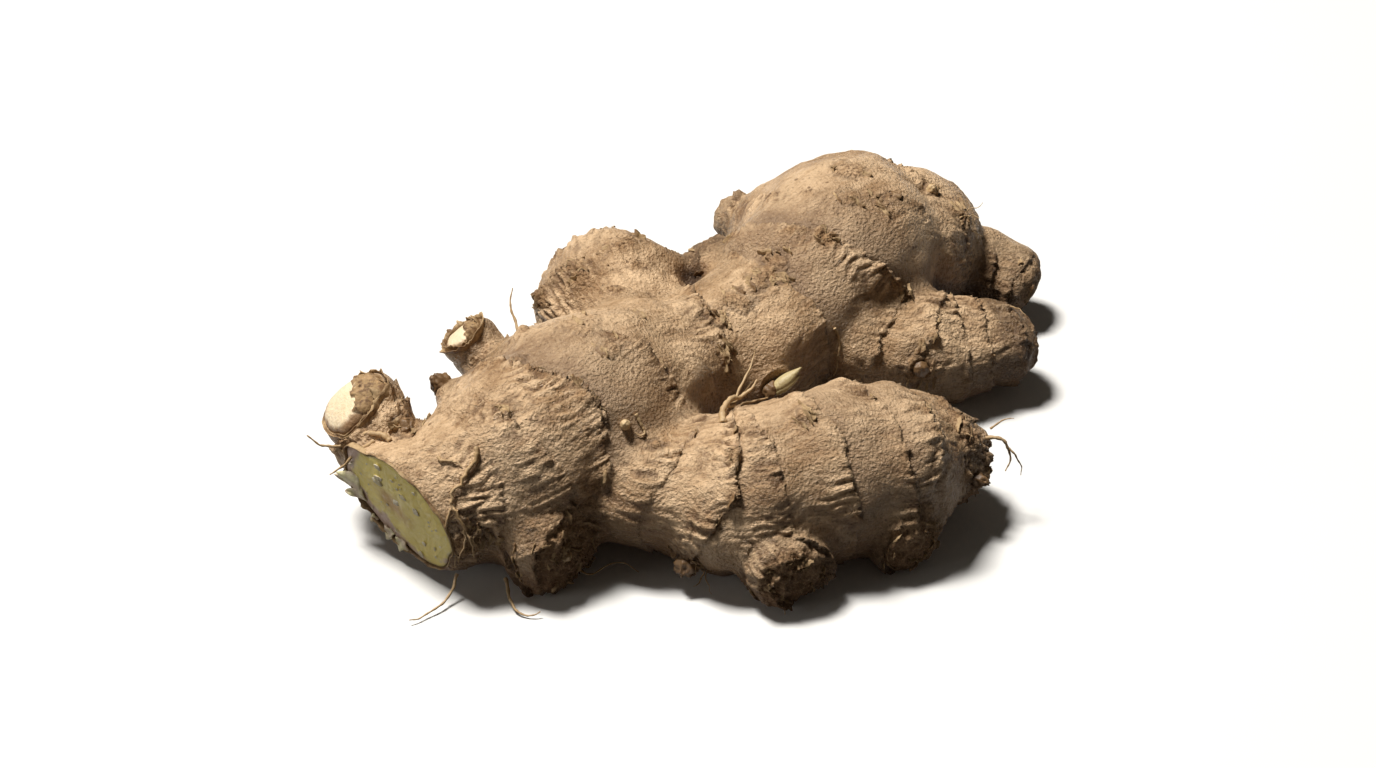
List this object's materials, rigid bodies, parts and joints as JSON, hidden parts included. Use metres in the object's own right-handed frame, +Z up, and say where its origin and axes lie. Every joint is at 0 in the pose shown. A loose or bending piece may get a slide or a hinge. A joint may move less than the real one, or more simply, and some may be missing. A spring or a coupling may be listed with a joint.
{
  "type": "ginger root",
  "caption": "Fresh ginger rhizome: a branching hand of knobbly rounded lobes ringed by leaf scars, cut flat at one end, lying on its side.",
  "frame": {"origin": "middle of the box around the hand, at the surface it rests on", "axes": "+X from the cut end along the hand's longest side to the finger tips, +Y from the front lobes to the back lobes, +Z up"},
  "size_m": [0.1462, 0.1188, 0.0426],
  "materials": {
    "ginger_skin": "dry satin skin, tan to grey-brown, wrinkled"
  },
  "bodies": {
    "root": {"ginger_rhizome": "ginger_skin"}
  },
  "joints": []
}
